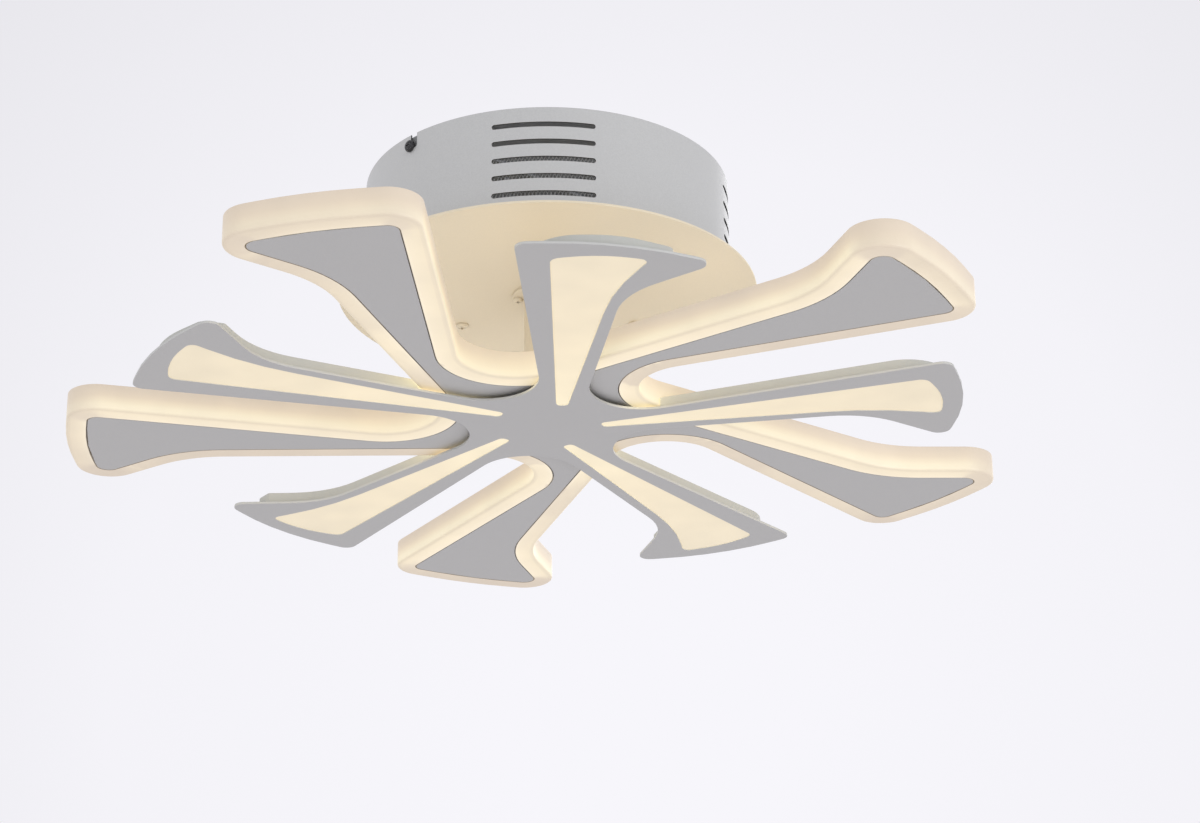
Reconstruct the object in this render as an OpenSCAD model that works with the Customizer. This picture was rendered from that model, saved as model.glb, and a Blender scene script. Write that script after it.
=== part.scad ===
// Ten-armed LED ceiling light with a vented canopy.
// Millimetres. The origin is the centre of the ceiling face and the light hangs below it.
// An arm is drawn along +X: its first coordinate runs outwards, its second one sideways.

/* [Canopy] */
// Outside radius of the drum
drum_r = 149; // [140:1:158]
// Height of the drum
drum_h = 92; // [88:1:110]
// Sheet thickness of the drum
drum_wall = 1.2; // [0.8:0.1:2]
// Width of the drum's inward lip
lip_w = 20; // [16:1:26]
// How far the round cover plate stands out beyond the drum
cover_overhang = 21.5; // [15:0.5:30]
// Thickness of the cover plate
cover_t = 2; // [1.5:0.1:3]

/* [Vents] */
// Groups of slots round the drum
vent_groups = 4; // [1:1:6]
// Rows of slots in a group
vent_rows = 5; // [1:1:5]
// Height of a slot
vent_h = 4.2; // [3:0.1:6]
// Angle that a slot spans, in degrees
vent_arc = 30; // [20:1:40]
// Distance from one row to the next
vent_pitch = 15; // [10:0.5:16]
// Distance of the first row below the rim
vent_top = 15; // [13:0.5:18]
// Rows, counted from the lowest, that have mesh behind them
mesh_rows = 3; // [1:1:5]
// Thickness of the mesh band
mesh_t = 0.8; // [0.5:0.1:1.2]

/* [Ceiling bracket] */
// Angle of the bar, in degrees
bar_turn = 44.5; // [0:0.5:60]
// Width of the bar
bar_w = 34; // [30:1:44]
// Thickness of the bar
bar_t = 2; // [1.5:0.1:3]
// Width of the turned-down ears
ear_w = 20; // [16:1:26]
// Height of the ears
ear_h = 19; // [17:1:26]
// Circle of the two round ceiling holes, across
ceiling_pcd = 90; // [70:1:120]
// Radius of the ceiling holes
ceiling_hole_r = 2.75; // [2.5:0.05:3.5]
// Length of the slots beside the ceiling holes
ceiling_slot = 24; // [14:1:34]
// Radius of the hole for the supply cable
cable_hole_r = 10; // [6:0.5:12]
// Distance of the side screws below the rim
side_screw_drop = 10; // [8:0.5:12]
// Width of a notch's mouth
notch_w = 7; // [5.5:0.5:9]
// Turn from the lock to the notch's mouth, in degrees
twist = 1.5; // [1:0.1:2.5]

/* [Driver] */
// Length of the driver's case
driver_l = 128; // [100:1:134]
// Width of the driver's case
driver_w = 44; // [36:1:48]
// Height of the driver's case
driver_h = 30; // [22:1:34]
// Distance of the driver from the stem's axis
driver_off = 54; // [52:0.5:60]
// Radius of the mains lead
mains_r = 3; // [2:0.1:4]
// Radius of the output lead
output_r = 2.5; // [2:0.1:3.5]
// Head radius of the driver screws
driver_head_r = 5.5; // [4:0.1:6]

/* [Stem] */
// Outside radius of the tube
stem_r = 19; // [16:0.5:20]
// Wall of the tube
stem_wall = 1.5; // [1:0.1:3]
// Radius of the top flange
top_flange_r = 29; // [28.5:0.5:31]
// Radius of the bottom flange
low_flange_r = 36; // [33:0.5:44]
// Thickness of both flanges
flange_t = 2; // [1.5:0.1:4]
// Circle radius of the stem screws
stem_screw_ring = 24; // [23.5:0.25:25]
// Circle radius of the hub studs
hub_stud_ring = 27.5; // [25:0.25:29]

/* [Stars] */
// Ceiling to the underside of the framed star
drop = 208; // [190:1:260]
// Thickness of the framed plate
plate_t = 2; // [1.5:0.1:3]
// Gap between the framed plate and the acrylic star
star_gap = 3; // [2.8:0.1:5]

/* [Framed star] */
// Reach of an arm, to its straight corner
framed_reach = 331.5; // [310:0.5:350]
// Sideways place of the straight corner
framed_edge = -17.5; // [-24:0.5:-14]
// Sideways place of the straight edge near the hub
framed_root = -4.5; // [-6:0.25:-3]
// How far the flared tip stays behind the straight corner
framed_slant = 35.1; // [30:0.1:40]
// Sideways place of the flared tip
framed_tip = 126; // [114:0.5:134]
// Rise of the end edge's arch
framed_arch = 18.8; // [12:0.2:22]
// How far the bend in the curved edge lies behind the straight corner
framed_flare = 85.1; // [76:0.1:94]
// Sideways place of the bend
framed_bend = 59.2; // [56:0.2:64]
// Sideways place of the curved edge near the hub
framed_curve_root = 35; // [33:0.25:38]
// Radius of the two outer corners
framed_corner_r = 9; // [5:0.5:12]
// Radius of the bend
framed_bend_r = 72; // [40:1:80]
// Radius of the hollows between the arms
framed_hollow_r = 43; // [36:0.5:46]

/* [Windows] */
// Reach of a window's inner end
window_in = 41.5; // [40:0.5:60]
// Sideways place of a window's straight edge
window_edge = 7.5; // [6.5:0.25:9]
// Width of the inner end
window_in_w = 9; // [8.5:0.1:10]
// Metal beyond the window at the end of an arm
frame_end = 24.5; // [21:0.5:28]
// Metal between the window's flared corner and the flared tip
frame_flare = 47.3; // [42:0.1:52]
// Metal between the window and the arm's bend
frame_bend = 7.1; // [6:0.1:9]
// Rise of the window's arched end
window_arch = 9; // [6:0.25:10]
// Margin of the diffuser on the plate round a window
window_margin = 3; // [2:0.1:3.5]
// Thickness of the diffuser's margin
diffuser_t = 2; // [1.5:0.1:2.5]

/* [Trays] */
// Height of a tray
tray_h = 10; // [9:0.5:18]
// Sheet thickness of a tray
tray_wall = 1; // [0.8:0.1:1.2]
// Distance of a tray inside the plate's edge
tray_inset = 6; // [5.5:0.1:6.5]
// Distance of a tray's end inside the plate's end
tray_end = 11; // [10:0.5:13]
// Distance of a tray's flare from the flared tip
tray_short = 31; // [28:0.5:34]
// Radius of a tray's straight corner
tray_corner_r = 36; // [20:1:40]
// Clearance between a tray and the side of the acrylic star
tray_gap = 1; // [0.8:0.1:2]
// Reach of a tray board's inner end
tray_board_in = 136; // [130:1:150]

/* [Acrylic star] */
// Width of the frosted rim round the inlay
rim_w = 17; // [14:0.5:20]
// Height of the shell
shell_h = 22; // [20:0.5:32]
// Thickness of the shell's side wall
shell_wall = 3; // [2.4:0.1:3.6]
// Thickness of the shell's floor
floor_t = 3; // [2.5:0.1:4]
// Thickness of the metal inlay
inlay_t = 1.5; // [1:0.1:2]
// Thickness of the base plate
base_t = 1.5; // [1:0.1:2]
// Reach of an inlay arm, to its straight corner
inlay_reach = 342; // [320:0.5:360]
// Sideways place of the straight corner
inlay_edge = 129; // [125:0.5:136]
// How far the flared corner stands out beyond the straight corner
inlay_slant = 45.7; // [40:0.1:52]
// Sideways place of the flared corner
inlay_tip = 16.3; // [12:0.1:20]
// Rise of the end edge's arch
inlay_arch = 7.25; // [5:0.05:9]
// How far the bend in the curved edge lies behind the straight corner
inlay_flare = 38.3; // [34:0.1:44]
// Sideways place of the bend
inlay_bend = 41.3; // [39:0.2:44]
// Sideways place of the curved edge, 100 from the centre
inlay_curve_root = -27; // [-29:0.25:-26]
// Sideways place of the straight edge, 163 from the centre
inlay_edge_root = 14; // [13:0.25:17]
// Radius of the bend
inlay_bend_r = 110; // [70:1:120]
// Radius of the hollows between the arms
inlay_hollow_r = 62; // [56:0.5:64]

/* [Hidden] */

// Each star has one named window, tray or board for each of its five arms
arms = 5;
star_turn = 180 / arms;

// Clearances
fit = 0.05;      // a screw in its tapped hole, a nut on its stud
seat = 0.3;      // loose parts that lie against each other
passing = 0.25;  // radial play of a screw in a plain hole
proud = 1;       // how far a cut runs past the face it opens
$fn = 48;
fn_drum = 180;

// Fasteners: shank radius, nut across flats, nut height, head radius, head height
m3 = 1.5;
m3_head_r = 2.8;
m3_head_h = 1.8;
m4 = 2;
m4_flats = 7;
m4_nut_h = 3.2;
m4_head_r = 4;
m4_head_h = 2.6;
side_head_r = 5;
side_head_h = 3;
tray_head_r = 3;
tray_head_h = 0.8;
thread_end = 1.5;  // thread that stands out of a nut

// Canopy levels
cover_top = -drum_h;
cover_low = cover_top - cover_t;
drum_in = drum_r - drum_wall;
ear_face = sqrt(pow(drum_in - seat, 2) - pow(ear_w / 2, 2));
ear_neck = 12;      // length of the bar's narrow ends
ear_shoulder = 24;  // where the bar has its full width
cover_r = drum_r + cover_overhang;
cover_stud_ring = drum_r - lip_w / 2;
driver_ear = 13;
driver_ear_t = 2.5;
driver_hole = driver_l / 2 + 8;
lead_level = cover_top + 12;
block_l = 36;
block_w = 16;
block_h = 14;
block_x = -driver_l / 2 + 16;
mesh_low = vent_top + (vent_rows - 1) * vent_pitch + 6;
mesh_high = vent_top + (vent_rows - mesh_rows) * vent_pitch - 6;

// Star levels
framed_low = -drop;
framed_top = framed_low + plate_t;
inlay_low = framed_top + star_gap;
inlay_top = inlay_low + inlay_t;
floor_top = inlay_low + floor_t;
shell_top = inlay_low + shell_h;
base_sink = 0.5;
base_top = shell_top - base_sink;
base_low = base_top - base_t;
flange_top = base_top + flange_t;
tray_top = framed_top + tray_h;
roof_low = tray_top - tray_wall;

// Hub
hub_hole_r = 12;
sleeve_r = 4;
hub_stud_turn = 53;
puck_r = 16;
puck_h = 9;
puck_low = base_low - puck_h;
board_t = 1.6;
chip_t = 0.8;
lead_r = 0.75;
star_lead_r = 1.2;
tray_lead_side = window_edge - window_margin - passing - lead_r;
tray_lead_end = tray_board_in + 4;
post_r = 2.5;
post_thread = 5.5;
tray_lead_level = framed_top + lead_r + fit;

// Corner lists hold [outwards, sideways, radius], counter-clockwise seen from above
function xy(p) = [p[0], p[1]];
function left(d) = [-d[1], d[0]];
function dir(a, b) = (xy(b) - xy(a)) / norm(xy(b) - xy(a));
function crossing(a, b) = a[0] * b[1] - a[1] * b[0];
function turned(p, a) = [p[0] * cos(a) - p[1] * sin(a), p[0] * sin(a) + p[1] * cos(a), p[2]];
function wrap(c, i) = c[(i + len(c)) % len(c)];
function lerp(a, b, t) = a + (b - a) * t;
// Where the line through p along d meets the line through q along e
function meet(p, d, q, e) = xy(p) + d * crossing(xy(q) - xy(p), e) / crossing(d, e);
// The point on the line from a to b that lies at reach x, as a corner of radius r
function at_reach(a, b, x, r = 2) = [x, a[1] + (b[1] - a[1]) * (x - a[0]) / (b[0] - a[0]), r];

// The outline with its edges moved outwards by d
function grow(c, d) = [for (i = [0:len(c) - 1])
  let (e = dir(wrap(c, i - 1), c[i]), f = dir(c[i], wrap(c, i + 1)),
       n = -left(e), m = -left(f), p = xy(c[i]) + (n + m) * d / (1 + n * m))
  [p[0], p[1], max(0.2, c[i][2] + (crossing(e, f) > 0 ? d : -d))]];

// The angle that the outline turns by at a corner
function turn_at(c, i) = let (e = dir(wrap(c, i - 1), wrap(c, i)), f = dir(wrap(c, i), wrap(c, i + 1)))
  atan2(crossing(e, f), e * f);
// How much of the walls beside a corner its rounding takes up
function taken(c, i) = wrap(c, i)[2] * tan(abs(turn_at(c, i)) / 2);
// How far two roundings have to shrink to share the wall between them
function share(c, i, j) = min(1, 0.98 * norm(xy(wrap(c, i)) - xy(wrap(c, j)))
  / (taken(c, i) + taken(c, j) + 0.001));

// The outline's points, each corner rounded by its radius as far as its walls allow
function rounded(c) = [for (i = [0:len(c) - 1])
  let (e = dir(wrap(c, i - 1), c[i]), turn = turn_at(c, i), side = sign(turn),
       r = c[i][2] * min(share(c, i, i - 1), share(c, i, i + 1)),
       start = xy(c[i]) - e * r * tan(abs(turn) / 2), centre = start + left(e) * side * r,
       steps = max(2, ceil(abs(turn) / (r > 30 ? 7 : 15))))
  for (j = [0:steps])
    let (a = turn * j / steps, v = start - centre)
    centre + [v[0] * cos(a) - v[1] * sin(a), v[0] * sin(a) + v[1] * cos(a)]];

// The corner of an arched edge from a to b; its rounding takes up the given part of the edge
function peak(a, b, rise, part) =
  let (half = norm(xy(b) - xy(a)) / 2, p = (xy(a) + xy(b)) / 2 - left(dir(a, b)) * rise)
  [p[0], p[1], part * half * half / rise];

// Corners of the framed star
framed_curve_at = 88;
framed_root_at = 90;
framed_corner = [framed_reach, framed_edge, framed_corner_r];
framed_tip_c = [framed_reach - framed_slant, framed_tip, framed_corner_r];
framed_bend_c = [framed_reach - framed_flare, framed_bend, framed_bend_r];
framed_hollow = meet(
  [framed_curve_at, framed_curve_root], dir([framed_curve_at, framed_curve_root], framed_bend_c),
  turned([framed_root_at, framed_root, 0], 360 / arms),
  dir(turned([framed_root_at, framed_root, 0], 360 / arms), turned(framed_corner, 360 / arms)));
framed_arm = [framed_corner,
  peak(framed_corner, framed_tip_c, framed_arch, 0.76),
  framed_tip_c,
  framed_bend_c,
  [framed_hollow[0], framed_hollow[1], framed_hollow_r]];
framed_star = [for (k = [0:arms - 1]) for (p = framed_arm) turned(p, k * 360 / arms)];

// Corners of a window and its diffuser
window_reach = framed_reach - frame_end;
window_tip_reach = window_reach - 4;
window_tip = framed_tip - frame_flare;
window_bend_reach = framed_bend_c[0] + 8.4;
window_bend = framed_bend - frame_bend;
window_corner_c = [window_reach, window_edge, 8];
window_tip_c = [window_tip_reach, window_tip, 6];
window = [[window_in, window_edge, 4],
  window_corner_c,
  peak(window_corner_c, window_tip_c, window_arch, 0.7),
  window_tip_c,
  [window_bend_reach, window_bend, 230],
  [window_in, window_edge + window_in_w, 4]];

// Corners of the acrylic star
inlay_curve_at = 100;
inlay_edge_at = 163;
inlay_corner = [inlay_reach, inlay_edge, 8];
inlay_tip_c = [inlay_reach + inlay_slant, inlay_tip, 9];
inlay_bend_c = [inlay_reach - inlay_flare, inlay_bend, inlay_bend_r];
inlay_hollow = meet(
  inlay_corner, dir([inlay_edge_at, inlay_edge_root], inlay_corner),
  turned(inlay_bend_c, 360 / arms),
  dir(turned([inlay_curve_at, inlay_curve_root, 0], 360 / arms), turned(inlay_bend_c, 360 / arms)));
inlay_arm = [inlay_corner,
  [inlay_hollow[0], inlay_hollow[1], inlay_hollow_r],
  turned(inlay_bend_c, 360 / arms),
  turned(inlay_tip_c, 360 / arms),
  turned(peak(inlay_tip_c, inlay_corner, inlay_arch, 0.59), 360 / arms)];
inlay_outline = [for (k = [0:arms - 1]) for (p = inlay_arm) turned(p, k * 360 / arms)];
shell_outline = grow(inlay_outline, rim_w);
boss_r = 4;
boss_out = (xy(inlay_corner) + xy(inlay_tip_c)) / 2 + left(dir(inlay_tip_c, inlay_corner)) * 10;
star_bosses = [[inlay_curve_at + 28, inlay_curve_root + 17], boss_out];
board_in = 150;
board_out = inlay_reach - 12;
curve_row_end = inlay_bend_c[0] - 42;
edge_row_start = board_in + 26;
board_edge = grow(inlay_outline, -2);
board_outline = [at_reach(wrap(board_edge, -4), wrap(board_edge, -3), board_in),
  wrap(board_edge, -3),
  at_reach(wrap(board_edge, -3), wrap(board_edge, -2), board_out),
  at_reach(board_edge[0], board_edge[1], board_out),
  at_reach(board_edge[0], board_edge[1], board_in)];

// Corners of a tray and its board; its inner end is cut along the acrylic star's side
tray_in = 70;
tray_out = framed_reach - tray_end;
tray_side = framed_tip - tray_short;
tray_back_off = 22;
tray_edge = grow(framed_star, -tray_inset);
tray_slope = dir(tray_edge[2], tray_edge[3]);
tray_flare = meet([tray_out, tray_side], [1, 0], tray_edge[2], tray_slope);
tray_outline = [at_reach(wrap(tray_edge, -1), tray_edge[0], tray_in),
  at_reach(wrap(tray_edge, -1), tray_edge[0], tray_out, tray_corner_r),
  [tray_out, (framed_edge + framed_tip) / 2 + 2, 80],
  [tray_out - tray_back_off, tray_side, 8],
  [tray_flare[0], tray_flare[1], 3],
  tray_edge[3],
  at_reach(tray_edge[3], tray_edge[4], tray_in)];
tray_post_at = 200;
tray_wall_at = at_reach(wrap(tray_edge, -1), tray_edge[0], tray_post_at)[1] + tray_wall;
tray_posts = [[tray_post_at, (tray_wall_at + window_edge - window_margin) / 2],
  [window_tip_reach - 14, (window_tip + tray_side) / 2]];
tray_board_outline = [[tray_board_in, window_edge - 3.5, 1],
  [window_reach - 5, window_edge - 3.5, 3],
  [window_tip_reach - 5, window_tip - 12, 3],
  [window_bend_reach, window_bend - 2, 230],
  [tray_board_in, window_edge + 22.5, 1]];
// The acrylic star's side as a framed arm meets it, moved outwards by d and closed round the hub
function star_flank(d) =
  let (edge = grow(shell_outline, d), p = [for (i = [0:2]) turned(edge[i], -star_turn)])
  [[p[0][0], p[0][1], 1], p[1], [p[2][0], p[2][1], 1],
    [-tray_in, p[2][1], 1], [-tray_in, p[0][1] - tray_in, 1]];

// Places of the arms and studs
module framed_arms() for (k = [0:arms - 1]) framed_place(k) children();
module framed_place(k) rotate([0, 0, k * 360 / arms - 90]) children();
module star_place(k) rotate([0, 0, k * 360 / arms - 90 + star_turn]) children();
module hub_studs() {
  framed_arms() rotate([0, 0, hub_stud_turn]) translate([hub_stud_ring, 0, 0]) children();
}
module quarters(ring, from = 0) {
  for (a = [0:90:270]) rotate([0, 0, a + from]) translate([ring, 0, 0]) children();
}

// Shared shapes
module slab(corners, low, high) {
  translate([0, 0, low]) linear_extrude(high - low) polygon(rounded(corners));
}
module pole(r, low, high) translate([0, 0, low]) cylinder(r = r, h = high - low);
module hex_nut(bore, flats, h) {
  difference() {
    cylinder(r = flats / 2 / cos(30), h = h, $fn = 6);
    translate([0, 0, -proud]) cylinder(r = bore + fit, h = h + 2 * proud);
  }
}
// A pan-head screw that points up, its head below z = 0
module pan_screw(r, length, head_r, head_h) {
  difference() {
    union() {
      pole(r, -head_h / 2, length);
      rotate_extrude() polygon([[0, -head_h], [head_r * 0.55, -head_h], [head_r * 0.85, -head_h * 0.8],
        [head_r, -head_h * 0.4], [head_r, 0], [0, 0]]);
    }
    for (a = [0, 90]) rotate([0, 0, a])
      translate([-head_r * 0.55, -head_r * 0.11, -head_h - proud])
        cube([head_r * 1.1, head_r * 0.22, head_h * 0.5 + proud]);
  }
}
// A quarter bend of a lead in the XY plane, from +X of its centre towards +Y
module bend(r, lead) rotate_extrude(angle = 90) translate([r, 0]) circle(r = lead, $fn = 24);
module run(length, lead) cylinder(r = lead, h = length, $fn = 24);

module ceiling_bracket() {
  side = bar_w / 2;
  neck = ear_w / 2;
  color("gainsboro") rotate([0, 0, bar_turn]) difference() {
    intersection() {
      rotate([90, 0, 0]) translate([0, 0, -bar_w]) linear_extrude(2 * bar_w)
        polygon(rounded([[-ear_face, 0, 3], [-ear_face, -ear_h, 0.2],
          [-ear_face + bar_t, -ear_h, 0.2], [-ear_face + bar_t, -bar_t, 1],
          [ear_face - bar_t, -bar_t, 1], [ear_face - bar_t, -ear_h, 0.2],
          [ear_face, -ear_h, 0.2], [ear_face, 0, 3]]));
      slab([[-ear_face - proud, -neck, 0.2], [-ear_face + ear_neck, -neck, 6],
        [-ear_face + ear_shoulder, -side, 6], [ear_face - ear_shoulder, -side, 6],
        [ear_face - ear_neck, -neck, 6], [ear_face + proud, -neck, 0.2],
        [ear_face + proud, neck, 0.2], [ear_face - ear_neck, neck, 6],
        [ear_face - ear_shoulder, side, 6], [-ear_face + ear_shoulder, side, 6],
        [-ear_face + ear_neck, neck, 6], [-ear_face - proud, neck, 0.2]], -ear_h - proud, proud);
    }
    pole(cable_hole_r, -bar_t - proud, proud);
    for (s = [-1, 1]) {
      translate([s * ceiling_pcd / 2, 0, 0]) pole(ceiling_hole_r, -bar_t - proud, proud);
      for (e = [0, 1])
        translate([s * (ceiling_pcd / 2 + 20 + e * (ceiling_slot - 2 * ceiling_hole_r)), 0, 0])
          pole(ceiling_hole_r, -bar_t - proud, proud);
      translate([s * (ceiling_pcd / 2 + 20) + (s < 0 ? -ceiling_slot + 2 * ceiling_hole_r : 0),
        -ceiling_hole_r, -bar_t - proud])
        cube([ceiling_slot - 2 * ceiling_hole_r, 2 * ceiling_hole_r, bar_t + 2 * proud]);
      translate([s * ear_face, 0, -side_screw_drop]) rotate([0, 90, 0])
        cylinder(r = m4 + fit, h = 4 * bar_t, center = true);
    }
    translate([ceiling_pcd / 4 + 2, bar_w / 4 + 1, 0]) pole(m4 + fit, -bar_t - proud, proud);
  }
}

module side_screws() {
  color("dimgray") for (a = [0, 180]) rotate([0, 0, bar_turn + a])
    translate([drum_r + seat, 0, -side_screw_drop]) rotate([0, -90, 0])
      pan_screw(m4, drum_r + seat - ear_face + bar_t + thread_end, side_head_r, side_head_h);
}

module earth_screw() {
  color("goldenrod") rotate([0, 0, bar_turn])
    translate([ceiling_pcd / 4 + 2, bar_w / 4 + 1, -bar_t])
      pan_screw(m4, bar_t - seat, m4_head_r, m4_head_h);
}

// One vent slot: a stretch of the wall between two round ends
module vent(level) {
  for (s = [-1, 1]) rotate([0, 0, s * vent_arc / 2]) translate([drum_r, 0, level])
    rotate([0, 90, 0]) cylinder(r = vent_h / 2, h = 4 * drum_wall, center = true);
  rotate([0, 0, -vent_arc / 2]) rotate_extrude(angle = vent_arc, $fn = fn_drum)
    translate([drum_r - 2 * drum_wall, level - vent_h / 2]) square([4 * drum_wall, vent_h]);
}

// One hook-shaped notch: down from the rim, then sideways to the lock
module notch() {
  play = m4 + 0.4;
  near = drum_r * twist * PI / 180 - notch_w / 2;
  far = near + notch_w;
  top = side_screw_drop + proud;
  translate([drum_in - 3 * drum_wall, 0, -side_screw_drop]) rotate([90, 0, 90])
    linear_extrude(7 * drum_wall) polygon(rounded([[-play, -play, play * 0.97], [far, -play, play * 0.97],
      [far, top, 0.2], [near, top, 0.2], [near, play, 0.3], [-play, play, play * 0.97]]));
}

module canopy_drum() {
  color("silver") difference() {
    rotate_extrude($fn = fn_drum) polygon(rounded([
      [drum_r - lip_w, -drum_h, 0.3], [drum_r, -drum_h, 2], [drum_r, 0, 0.3], [drum_in, 0, 0.3],
      [drum_in, -drum_h + drum_wall, 0.8], [drum_r - lip_w, -drum_h + drum_wall, 0.3]]));
    for (g = [0:vent_groups - 1]) rotate([0, 0, g * 360 / vent_groups - 90])
      for (i = [0:vent_rows - 1]) vent(-vent_top - i * vent_pitch);
    for (a = [0, 180]) rotate([0, 0, bar_turn + a]) notch();
    quarters(cover_stud_ring, 45) pole(m4 + passing, -drum_h - proud, -drum_h + drum_wall + proud);
  }
}

module vent_screen() {
  r = drum_in - seat;
  color("dimgray") rotate_extrude($fn = fn_drum)
    translate([r - mesh_t, -mesh_low]) square([mesh_t, mesh_low - mesh_high]);
}

module cover_plate() {
  stud_top = cover_top + drum_wall + m4_nut_h + thread_end;
  color("wheat") {
    difference() {
      rotate_extrude($fn = fn_drum) polygon(rounded([[hub_hole_r, cover_low, 0.3],
        [cover_r, cover_low, 0.6], [cover_r, cover_top, 0.6], [hub_hole_r, cover_top, 0.3]]));
      quarters(stem_screw_ring) pole(m4 + passing, cover_low - proud, cover_top + proud);
      for (s = [-1, 1]) translate([s * driver_hole, driver_off, 0])
        pole(m4 + passing, cover_low - proud, cover_top + proud);
    }
    quarters(cover_stud_ring, 45) pole(m4, cover_low + cover_t / 2, stud_top);
  }
}

module cover_nuts() {
  color("lightgray") quarters(cover_stud_ring, 45)
    translate([0, 0, cover_top + drum_wall]) hex_nut(m4, m4_flats, m4_nut_h);
}

module led_driver() {
  half_l = driver_l / 2;
  half_w = driver_w / 2;
  ear = 8;
  color("whitesmoke") translate([0, driver_off, cover_top]) difference() {
    union() {
      slab([[-half_l, -half_w, 4], [half_l, -half_w, 4], [half_l, half_w, 4], [-half_l, half_w, 4]],
        0, driver_h - 2);
      slab([[-half_l + 1, -half_w + 1, 3], [half_l - 1, -half_w + 1, 3], [half_l - 1, half_w - 1, 3],
        [-half_l + 1, half_w - 1, 3]], 0, driver_h);
      slab([[-half_l - driver_ear, -ear, 5], [half_l + driver_ear, -ear, 5],
        [half_l + driver_ear, ear, 5], [-half_l - driver_ear, ear, 5]], 0, driver_ear_t);
    }
    for (s = [-1, 1]) translate([s * driver_hole, 0, 0])
      pole(m4 + passing, -proud, driver_ear_t + proud);
  }
}

module driver_screws() {
  color("wheat") for (s = [-1, 1]) translate([s * driver_hole, driver_off, cover_low])
    pan_screw(m4, cover_t + driver_ear_t + m4_nut_h + thread_end, driver_head_r, m4_head_h);
}

module driver_nuts() {
  color("lightgray") for (s = [-1, 1])
    translate([s * driver_hole, driver_off, cover_top + driver_ear_t])
      hex_nut(m4, m4_flats, m4_nut_h);
}

module terminal_block() {
  pitch = block_l / 3;
  color("ivory") translate([block_x, driver_off - block_w / 2, cover_top + driver_h]) difference() {
    cube([block_l, block_w, block_h]);
    for (i = [0:2]) translate([pitch * (i + 0.5), block_w / 2, 0]) {
      pole(2.6, block_h - 5, block_h + proud);
      translate([0, 0, block_h / 2 - 2]) rotate([90, 0, 0]) cylinder(r = 2, h = block_w + 2, center = true);
    }
    for (i = [1, 2]) translate([pitch * i - 0.6, -proud, block_h - 3])
      cube([1.2, block_w + 2 * proud, 3 + proud]);
  }
}

module mains_lead() {
  r = 8;
  out = -driver_l / 2 - 6;
  upper = cover_top + driver_h + block_h / 2;
  color("white") translate([0, driver_off, 0]) {
    translate([out, 0, lead_level]) rotate([0, 90, 0]) run(-out - driver_l / 2, mains_r);
    translate([out, 0, lead_level + r]) rotate([90, 0, 0]) rotate([0, 0, 180]) bend(r, mains_r);
    translate([out - r, 0, lead_level + r]) run(upper - lead_level - 2 * r, mains_r);
    translate([out, 0, upper - r]) rotate([90, 0, 0]) rotate([0, 0, 90]) bend(r, mains_r);
    translate([out, 0, upper]) rotate([0, 90, 0]) run(block_x - out, mains_r);
  }
}

module output_lead() {
  r = 12;
  out = driver_l / 2 + 6;
  color("white") {
    translate([driver_l / 2, driver_off, lead_level]) rotate([0, 90, 0]) run(6, output_r);
    translate([out, driver_off - r, lead_level]) bend(r, output_r);
    translate([out + r, driver_off - r, lead_level]) rotate([90, 0, 0])
      run(driver_off - 2 * r, output_r);
    translate([out, r, lead_level]) rotate([0, 0, -90]) bend(r, output_r);
    translate([r, 0, lead_level]) rotate([0, 90, 0]) run(out - r, output_r);
    translate([r, 0, lead_level - r]) rotate([90, 0, 0]) rotate([0, 0, 90]) bend(r, output_r);
    translate([0, 0, base_low]) run(lead_level - r - base_low, output_r);
  }
}

module stem() {
  color("wheat") difference() {
    union() {
      pole(stem_r, base_top, cover_low);
      pole(top_flange_r, cover_low - flange_t, cover_low);
      pole(low_flange_r, base_top, flange_top);
    }
    pole(stem_r - stem_wall, base_top - proud, cover_low + proud);
    quarters(stem_screw_ring) pole(m4 + passing, cover_low - flange_t - proud, cover_low + proud);
    hub_studs() pole(m4 + passing, base_top - proud, flange_top + proud);
  }
}

module stem_screws() {
  color("wheat") quarters(stem_screw_ring) translate([0, 0, cover_low - flange_t])
    pan_screw(m4, flange_t + cover_t + m4_nut_h + thread_end, m4_head_r, m4_head_h);
}

module stem_nuts() {
  color("lightgray") quarters(stem_screw_ring)
    translate([0, 0, cover_top]) hex_nut(m4, m4_flats, m4_nut_h);
}

module acrylic_star() {
  color("moccasin") rotate([0, 0, star_turn - 90]) {
    difference() {
      slab(shell_outline, inlay_low, shell_top);
      slab(grow(shell_outline, -shell_wall), floor_top, shell_top + proud);
      slab(grow(shell_outline, -shell_wall / 2), base_low, shell_top + proud);
      slab(grow(inlay_outline, seat), inlay_low - proud, inlay_top);
      pole(hub_hole_r, inlay_low - proud, floor_top + proud);
      rotate([0, 0, -star_turn]) for (k = [0:arms - 1]) rotate([0, 0, k * 360 / arms + hub_stud_turn])
        translate([hub_stud_ring, 0, 0]) pole(m4 + passing, inlay_low - proud, floor_top + proud);
    }
    for (k = [0:arms - 1]) rotate([0, 0, k * 360 / arms]) for (p = star_bosses)
      translate([p[0], p[1], 0]) difference() {
        pole(boss_r, floor_top - floor_t / 4, base_low);
        pole(m3 + fit, base_low - 10, base_low + proud);
      }
  }
}

module inlay_star() {
  color("silver") difference() {
    rotate([0, 0, star_turn - 90]) slab(inlay_outline, inlay_low, inlay_top);
    pole(hub_hole_r, inlay_low - proud, inlay_top + proud);
    hub_studs() pole(m4 + passing, inlay_low - proud, inlay_top + proud);
  }
}

module base_plate() {
  color("gainsboro") difference() {
    rotate([0, 0, star_turn - 90]) slab(grow(shell_outline, -shell_wall / 2 - seat), base_low, base_top);
    pole(hub_hole_r, base_low - proud, base_top + proud);
    hub_studs() pole(m4 + passing, base_low - proud, base_top + proud);
    for (k = [0:arms - 1]) star_place(k) for (p = star_bosses) translate([p[0], p[1], 0])
      pole(m3 + passing, base_low - proud, base_top + proud);
  }
}

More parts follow.
